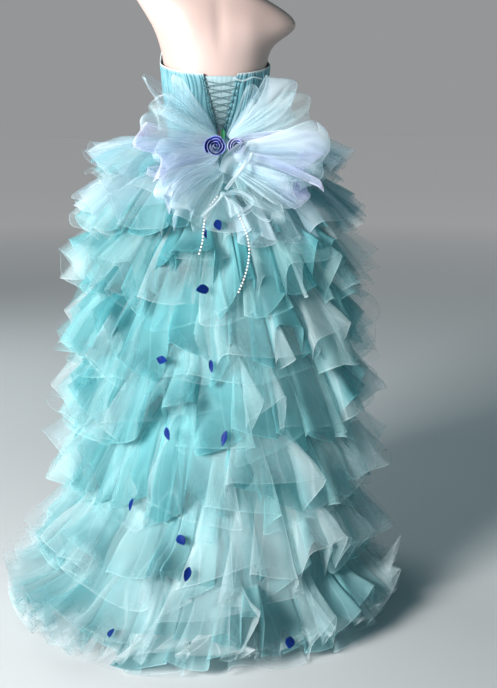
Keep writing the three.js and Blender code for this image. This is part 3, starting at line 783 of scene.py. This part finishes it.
def ruffleLayer(number, tier, layer):
    dice = np.random.default_rng(1000 * number + layer["seed"])
    folds = tier["folds"] + layer["more"] + (layer["extra"] if number < 4 else 0)
    share = np.arange(ruffleSet["columnsPerFold"]) / ruffleSet["columnsPerFold"]
    down = np.append(np.linspace(0, ruffleSet["edgeFrom"], ruffleSet["rows"]), 1.0)[:, None]
    widths = dice.uniform(0.5, 1.5, folds)
    starts = np.concatenate([[0], np.cumsum(widths)]) / widths.sum()
    span = np.diff(starts)
    plain = (starts[:-1, None] + span[:, None] * share).reshape(1, -1) + dice.uniform()

    # a fold runs from its foot to its left edge, over its face to its right edge, and back to the next foot
    def overFolds(left, right, foot=0.0):
        knots = [0, 0.22, 0.78, 1]
        line = np.stack([np.interp(share, knots, [foot, a, b, foot]) for a, b in zip(left, right)]).reshape(-1)
        for _ in range(2):
            line = (np.roll(line, 1) + 2 * line + np.roll(line, -1)) / 4
        return line[None, :]

    def perEdge(low, high):
        return dice.uniform(low, high, folds), dice.uniform(low, high, folds)

    lapLeft, lapRight = perEdge(-0.1, layer["lap"])
    lap = overFolds(-(lapLeft + 0.22) * span, (lapRight + 0.22) * span)
    height = overFolds(*perEdge(0.1, 1.3), -0.9)
    growth = 0.08 + 0.92 * down**0.9
    turn = plain + lap * growth
    behind = np.maximum(0, np.cos(2 * np.pi * plain))
    calm = 1 - 0.4 * behind**3
    sideways = 0.25 + 1.1 * np.sin(2 * np.pi * plain) ** 2
    fall = mix(layer.get("from", 0), 1, down)
    base = tierBase(tier, turn, fall)
    phase = np.arange(plain.shape[1]) * 2 * np.pi * ruffleSet["pleatsPerFold"] / ruffleSet["columnsPerFold"]
    fineRise = mix(ruffleSet["seamRise"], ruffleSet["hemRise"], np.clip(down * 1.4, 0, 1))
    fine = np.cos(phase + overFolds(*perEdge(-2, 2))) * fineRise
    flare = overFolds(*perEdge(*ruffleSet["flare"])) * sideways * down**2
    out = growth * layer["depth"] * height * calm + flare + fine
    # slanting creases
    girth = 2 * np.pi * tier["side"] / 1000
    for _ in range(ruffleSet["creases"]):
        slope, pitch = dice.uniform(-1, 1), dice.uniform(4, 13)
        wave = np.sin(2 * np.pi * pitch * (plain * girth + slope * 0.3 * down) + dice.uniform(0, 6.3))
        out = out + ruffleSet["creaseRise"] * wave * (0.15 + 0.85 * down)
    out = out + layer["out"] * down
    grid = base + tierDirections(tier, turn, fall) * out[..., None]
    belly = np.tile(np.sin(np.pi * share) ** 2, folds)[None, :]
    belly = belly * ruffleSet["bellyHigh" if number < 4 else "bellyLow"]
    fallen = np.clip((tier["seamZ"] - tier["hemZ"] - 60) / 180, 0, 1)
    isShort = dice.uniform(size=folds) < ruffleSet["shortShare"]
    short = fallen * np.where(isShort, dice.uniform(*ruffleSet["short"], folds), 0)
    ragged = ruffleSet["ragged"][(number > 1) + (2 < number < 8)]
    hems = [ragged * edges - short for edges in perEdge(*ruffleSet["hem"])]
    sway = ruffleSet["sway"] * unevenRound(70 * number + layer["seed"], plain, 2, 6)
    hang = layer["lower"] + overFolds(*hems) + belly + sway
    grid[..., 2] -= hang * down**1.4
    # net that meets the floor lies along it
    low = 3 + 2 * min(layer["seed"], 3)
    soft = ruffleSet["floorSoft"]
    grid[..., 2] = low + np.log1p(np.exp((grid[..., 2] - low) / soft)) * soft
    # painted highlight: the last row of the hem is painted as a bright cut edge
    edge = np.clip((down - ruffleSet["edgeFrom"]) / 0.014, 0, 1) + 0 * plain
    patch = 0.46 + overFolds(*perEdge(-0.5, 0.5), -0.2) + 0.15 * np.sin(4 * down + overFolds(*perEdge(-3, 3)))
    dense = mix(layer["thick"], -0.1, down)
    # painted highlight: the flanks of each fold, where the net turns edge-on, are painted bright
    foldHighlight = np.clip(np.abs(np.gradient(height[0])) * 2.2, 0, 1)[None, :]
    paint = {"foldHighlight": foldHighlight, "edge": edge, "patch": patch, "dense": dense}
    tone = layer["tones"][(number > 2) + (number > 6)]
    piece = clothMesh(f"tier{number}{layer['name']}", grid, tulle[tone], True, paint)
    "pale_tulle" if number < 3 else "tulle"
    return piece


def makeTiers():
    outside = {}
    for number, tier in enumerate(tierTable, 1):
        layers = [ruffleLayer(number, tier, layer) for layer in layerTable]
        if number == len(tierTable):
            layers.append(ruffleLayer(number, tier, frothRow))
        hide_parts(f"tier_{number}")
        outside[number] = layers
    return outside


tiers = makeTiers()
print("tiers made")


# bow at the back waist: sheer fans, organza loops and tulle puffs round a knot

bowTable = tableOf(
    "piece side y z reach rise lean tilt width",
    ("fan", -1, -140, 1170, 192, 27, 0.24, 0, 114),
    ("fan", 1, -140, 1170, 172, 31, 0.24, 0, 126),
    ("organza", -1, -180, 1160, 190, -5, 0.42, 0.45, 138),
    ("organza", 1, -180, 1160, 196, -6, 0.42, 0.45, 138),
    ("puff", -1, -236, 1108, 165, -24, 0.58, 0.5, 100),
    ("puff", 1, -236, 1108, 170, -24, 0.58, 0.5, 104),
)
# sheer loops that fill the bow out between those
sheerTable = tableOf(
    "side y z reach rise lean tilt width tone",
    (-1, -126, 1172, 150, 45, 0.16, 0, 96, "mist"),
    (1, -126, 1172, 128, 43, 0.16, 0, 96, "mist"),
    (-1, -162, 1166, 178, 15, 0.34, 0.2, 128, "snow"),
    (1, -162, 1166, 192, 18, 0.34, 0.2, 128, "snow"),
    (-1, -206, 1146, 160, -16, 0.46, 0.5, 120, "mist"),
    (1, -206, 1146, 204, -12, 0.46, 0.5, 156, "mist"),
    (-1, -190, 1150, 172, -32, 0.42, 0.5, 104, "organza"),
    (1, -190, 1150, 188, -28, 0.42, 0.5, 104, "organza"),
    (-1, -232, 1104, 142, -50, 0.62, 0.5, 104, "snow"),
    (1, -232, 1104, 146, -48, 0.62, 0.5, 108, "snow"),
)
bowSet = {
    "steps": 48, "columns": 80, "rootX": 20, "rootWidth": 26, "rootGap": 4, "gathers": 6, "gatherRise": 2.6,
    "lobe": 18, "curl": 20, "crease": 1.3, "openOrganza": 12, "openTulle": 22, "openSheer": 26,
}


def bowLoop(loop, seed, finish, name, opening):
    rise = math.radians(loop["rise"])
    side = loop["side"]
    axis = np.array([side * math.cos(rise), -loop["lean"], math.sin(rise)])
    axis /= np.linalg.norm(axis)
    widthway = np.array([-side * math.sin(rise), loop["tilt"], math.cos(rise)])
    widthway /= np.linalg.norm(widthway)
    depthway = np.cross(widthway, axis)
    depthway *= side / np.linalg.norm(depthway)
    root = np.array([side * bowSet["rootX"], loop["y"], loop["z"]])
    along = np.linspace(0, 1, bowSet["steps"])[:, None]
    across = np.linspace(0, 1, bowSet["columns"])[None, :]
    far = np.sin(np.pi * along) ** 0.85
    reach = loop["reach"] * far * (1 + 0.13 * unevenRound(seed, across * 0.5, 1, 3))
    crimp = np.cos(2 * np.pi * bowSet["gathers"] * across + 1.2 * unevenRound(seed + 1, across, 1, 5))
    gather = bowSet["gatherRise"] * crimp * far * (1 - far) ** 0.6 * 2
    lobe = bowSet["lobe"] * far * unevenRound(seed + 2, across * 0.55 + 0.12 * along, 1, 4)
    curl = bowSet["curl"] * far**2 * np.abs(2 * across - 1) ** 3 * np.where(along < 0.5, 1, -0.6)
    crease = bowSet["crease"] * far * unevenRound(seed + 3, across * 1.1 + 0.7 * along, 2, 6)
    sheet = bowSet["rootGap"] * (2 * along - 1) - opening * np.sin(2 * np.pi * along) * far
    sheet = sheet + gather + lobe + crease - curl
    width = mix(bowSet["rootWidth"], loop["width"], far**0.7)
    slew = loop["width"] * 0.16 * unevenRound(seed + 5, along * 0.5, 1, 2) * far
    grid = root + axis * reach[..., None] + depthway * sheet[..., None]
    grid = grid + widthway * ((across - 0.5) * width + slew)[..., None]
    # painted highlight: the loop's edges, the turn at its far end and the gathers near its root are painted bright
    edge = np.clip((np.abs(across - 0.5) - 0.48) / 0.02, 0, 1) + 0 * along
    foldHighlight = 0.2 * np.clip(1 - crimp**2, 0, 1) * (1 - far) + 0.8 * np.exp(-(((along - 0.5) / 0.035) ** 2))
    patch = 0.5 + 0.25 * unevenRound(seed + 4, across * 0.7 + along * 0.4, 1, 4)
    paint = {"foldHighlight": foldHighlight, "edge": edge, "patch": patch, "dense": 0.1 - 0.16 * far}
    piece = clothMesh(name, grid, finish, False, paint)
    clothArea(grid)
    return piece


def makeBow():
    for k, loop in enumerate(bowTable):
        side = "Left" if loop["side"] < 0 else "Right"
        isOrganza = loop["piece"] == "organza"
        finish = organza if isOrganza else tulle["mist"]
        opening = bowSet["openOrganza" if isOrganza else "openTulle"]
        piece = bowLoop(loop, 300 + 10 * k, finish, f"bow{loop['piece'].capitalize()}{side}", opening)
        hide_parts(f"bow_{loop['piece']}_{side.lower()}")
    for k, loop in enumerate(sheerTable):
        side = "Left" if loop["side"] < 0 else "Right"
        isOrganza = loop["tone"] == "organza"
        finish = organza if isOrganza else tulle[loop["tone"]]
        opening = bowSet["openOrganza" if isOrganza else "openSheer"]
        sheer = bowLoop(loop, 500 + 10 * k, finish, f"bowSheer{side}{k // 2 + 1}", opening)


makeBow()
print("bow made")


# roses: a spiral of silk with lapped petals, a folded leaf, and the knot under them

roseTable = tableOf(
    "name node slot x y z radius seed",
    ("roseBlue", "rose_blue", "blue_silk", -28, -210, 1156, 28, 51),
    ("roseLilac", "rose_lilac", "lilac_silk", 24, -210, 1156, 24, 61),
)
roseSet = {"turns": 3.6, "height": 22, "flare": 8, "bud": 2, "tip": 74, "columns": 260, "rows": 12, "wall": 0.6}


def makeRose(rose, finish):
    along = np.linspace(0, 1, roseSet["columns"])[None, :]
    lip = np.linspace(1, 0, roseSet["rows"])[:, None]
    angle = 2 * np.pi * roseSet["turns"] * along
    petal = np.abs(np.sin(1.45 * angle + unevenRound(rose["seed"], along, 1, 4)))
    reach = mix(roseSet["bud"], rose["radius"] - roseSet["flare"] - 1, along) + roseSet["flare"] * along * lip**2
    reach = reach + 1.6 * petal * along * lip**2
    height = roseSet["height"] * lip * (0.8 - 0.38 * along + 0.22 * petal)
    x, y = reach * np.cos(angle), reach * np.sin(angle)
    tip = math.radians(roseSet["tip"])
    deep = y * math.cos(tip) - height * math.sin(tip)
    tall = y * math.sin(tip) + height * math.cos(tip)
    world = np.stack([x + 0 * lip, deep, tall], -1) + np.array([rose["x"], rose["y"], rose["z"]])
    edge = np.clip((lip - 0.86) / 0.14, 0, 1) + 0 * along
    flower = clothMesh(rose["name"], world, finish, False, {"edge": edge}, roseSet["wall"])
    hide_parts(rose["node"])


makeRose(roseTable[0], violetSilk)
makeRose(roseTable[1], lilacSilk)
refinedCopy("rose_leaf", "roseLeaf", leafSilk, 2, "leaf_silk")
refinedCopy("bow_knot", "bowKnot", tulle["mist"], 2, "pale_tulle")
print("roses made")


# rolled tie, and pearls strung from its knot

# tie, its tails and loop, and the veil that falls from the lilac rose: route and width along it
ribbonTable = [
    {"name": "tulleTie", "node": "tulle_tie", "tone": "rolled", "twist": 2.4, "rise": 4, "widths": [17, 15, 12, 9],
     "route": [(53, -262, 1143), (38, -272, 1124), (22, -282, 1105), (-14, -296, 1064)]},
    {"name": "tieTail", "tone": "rolled", "twist": 0.8, "rise": 2.5, "widths": [8, 14, 20],
     "route": [(-22, -302, 1052), (-40, -307, 1034), (-56, -312, 1016), (-70, -318, 1000)]},
    {"name": "tieTailShort", "tone": "mist", "twist": -0.6, "rise": 3, "widths": [8, 20, 30],
     "route": [(-16, -302, 1050), (-8, -312, 1030), (4, -320, 1006)]},
    {"name": "tieLoop", "tone": "mist", "twist": 0.9, "rise": 3, "widths": [8, 20, 24, 20, 8],
     "route": [(-14, -302, 1056), (18, -308, 1058), (48, -312, 1036), (22, -318, 1014), (-8, -310, 1042)]},
    {"name": "laceEnd", "tone": "rolled", "twist": 1.2, "rise": 0.6, "widths": [5, 6, 6, 5],
     "route": [(30, -108, 1318), (54, -106, 1312), (80, -100, 1320), (104, -92, 1316)]},
    {"name": "roseVeil", "tone": "mist", "twist": 0.3, "rise": 3, "widths": [14, 40, 52, 46],
     "route": [(52, -236, 1168), (30, -250, 1150), (8, -258, 1124), (-4, -262, 1096)]},
]
pearlRoutes = {
    "pearl_string_left": [
        (-34, -296, 1047), (-52, -302, 1026), (-64, -311, 1000), (-70, -328, 974), (-74, -340, 948), (-82, -345, 922),
    ],
    "pearl_string_right": [
        (-9, -299, 1043), (6, -304, 1020), (20, -314, 994), (30, -334, 964),
        (34, -346, 930), (30, -350, 894), (20, -352, 860), (8, -354, 832),
    ],
}
ribbonSet = {"steps": 44, "columns": 20, "pleats": 1.4}
pearlSet = {"radius": 2.8, "thread": 0.5, "every": 7.4, "steps": 36, "segments": 12, "rings": 8}


def makeRibbon(row):
    route = smoothRoute(row["route"], ribbonSet["steps"])
    run = np.linspace(0, 1, ribbonSet["steps"])[:, None]
    across = np.linspace(-0.5, 0.5, ribbonSet["columns"])[None, :]
    ahead = np.gradient(route, axis=0)
    side = np.cross(ahead, [0.0, -1.0, 0.15])
    side /= np.linalg.norm(side, axis=1, keepdims=True)
    lift = np.cross(side, ahead / np.linalg.norm(ahead, axis=1, keepdims=True))
    turn = row["twist"] * run
    flat = side * np.cos(turn) + lift * np.sin(turn)
    stand = lift * np.cos(turn) - side * np.sin(turn)
    width = np.interp(run, np.linspace(0, 1, len(row["widths"])), row["widths"])
    pleat = np.cos(2 * np.pi * ribbonSet["pleats"] * across + 1.5 * np.sin(5 * run))
    grid = route[:, None] + flat[:, None] * (across * width)[..., None]
    grid = grid + stand[:, None] * (row["rise"] * pleat)[..., None]
    edge = np.clip((np.abs(across) - 0.44) / 0.06, 0, 1)
    # painted highlight: the pleat flanks and the ribbon's edges are painted bright
    paint = {"foldHighlight": 0.4 - 0.4 * pleat**2, "edge": edge, "patch": 0.6 + 0.2 * pleat, "dense": 0 * run}
    ribbon = clothMesh(row["name"], grid, tulle[row["tone"]], False, paint)
    if "node" in row:
        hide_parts(row["node"])
    clothArea(grid)


def makePearls(node, places):
    route = smoothRoute(places, pearlSet["steps"])
    curve = bpy.data.curves.new(node + "_thread", "CURVE")
    curve.dimensions = "3D"
    curve.bevel_depth = pearlSet["thread"] * mm
    line = curve.splines.new("POLY")
    line.points.add(len(route) - 1)
    for point, place in zip(line.points, route):
        point.co = (*(place * mm), 1)
    thread = bpy.data.objects.new(node + "_thread", curve)
    scene.collection.objects.link(thread)
    curve.materials.append(cordSilk)
    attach(thread, "root")
    length = float(np.linalg.norm(np.diff(route, axis=0), axis=1).sum())
    count = int(length / pearlSet["every"])
    beads = []
    for spot in smoothRoute(places, count):
        bpy.ops.mesh.primitive_uv_sphere_add(
            segments=pearlSet["segments"],
            ring_count=pearlSet["rings"],
            radius=pearlSet["radius"] * mm,
            location=spot * mm,
        )
        beads.append(bpy.context.object)
    string = joined(beads, node + "_beads")
    bpy.ops.object.transform_apply(location=True, rotation=True, scale=True)
    string.data.shade_smooth()
    string.data.materials.append(pearl)
    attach(string, "root")
    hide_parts(node)


for row in ribbonTable:
    makeRibbon(row)
refinedCopy("tulle_tie_knot", "tulleTieKnot", tulle["rolled"], 1, "pale_tulle")
for node, places in pearlRoutes.items():
    makePearls(node, places)
print("tie and pearls made")


# loose petals, each where its node is, on the net of its own tier

petalTable = tableOf(
    "tier length width",
    (2, 34, 23),
    (2, 30, 16),
    (3, 34, 27),
    (4, 38, 23),
    (4, 34, 18),
    (5, 38, 19),
    (5, 40, 19),
    (6, 32, 20),
    (7, 32, 22),
    (7, 38, 20),
    (8, 30, 22),
    (8, 38, 26),
)
# net round a petal is pressed back until its foremost fold lies just behind the petal
petalSet = {
    "clear": 0.5, "behind": 40, "ahead": 160, "under": 16, "near": 26, "slope": 1.1, "least": 14, "floor": 4,
}


def meshPoints(mesh):
    points = np.empty(3 * len(mesh.vertices), np.float32)
    mesh.vertices.foreach_get("co", points)
    return points.reshape(-1, 3).astype(float) / mm


def petalSeat(node):
    points = meshPoints(frame["nodes"][node].data)
    centre = points.mean(0)
    view = np.array(cameraSet["place"]) / mm - centre
    face = np.linalg.svd(points - centre, full_matrices=False)[2][2]
    outward = face * np.sign(face @ view) + view / np.linalg.norm(view)
    outward /= np.linalg.norm(outward)
    return centre, outward, ((points - centre) @ outward).min() - petalSet["clear"]


def tuckNet(node, number):
    centre, outward, seat = petalSeat(node)
    behind, near = petalSet["behind"], petalSet["near"]
    layers = [layer for row in (number - 1, number, number + 1) for layer in tiers.get(row, [])]
    places = []
    for layer in layers:
        points = meshPoints(layer.data)
        depth = (points - centre) @ outward
        aside = np.linalg.norm(points - centre - depth[:, None] * outward, axis=1)
        places.append((layer, points, depth - seat, aside))
    excess = 0.0
    for _, _, ahead, aside in places:
        above = ahead[(aside < petalSet["under"]) & (ahead < petalSet["ahead"])]
        excess = max(excess, above.max(initial=0.0))
    far = near + petalSet["slope"] * excess + petalSet["least"]
    for layer, points, ahead, aside in places:
        share = np.clip((far - aside) / (far - near), 0, 1)
        share = share * share * (3 - 2 * share) * ((ahead > -behind) & (ahead < petalSet["ahead"]))
        push = (ahead + behind) * share * excess / (behind + excess)
        moved = points - outward * push[:, None]
        moved[:, 2] = np.maximum(moved[:, 2], np.minimum(points[:, 2], petalSet["floor"]))
        layer.data.vertices.foreach_set("co", (moved * mm).astype(np.float32).reshape(-1))
        layer.data.update()
    return excess


def makePetals():
    for k, row in enumerate(petalTable, 1):
        number = row["tier"]
        depth = tuckNet(f"petal_{k}", number)
        petal = refinedCopy(f"petal_{k}", f"petal{k}", blueSilk, 2, "blue_silk")
        row["width"] * mm
        row["length"] * mm
        print("petal", k, "net pressed", round(depth, 1), "mm")


makePetals()
print("petals made")

bpy.ops.object.select_all(action="DESELECT")
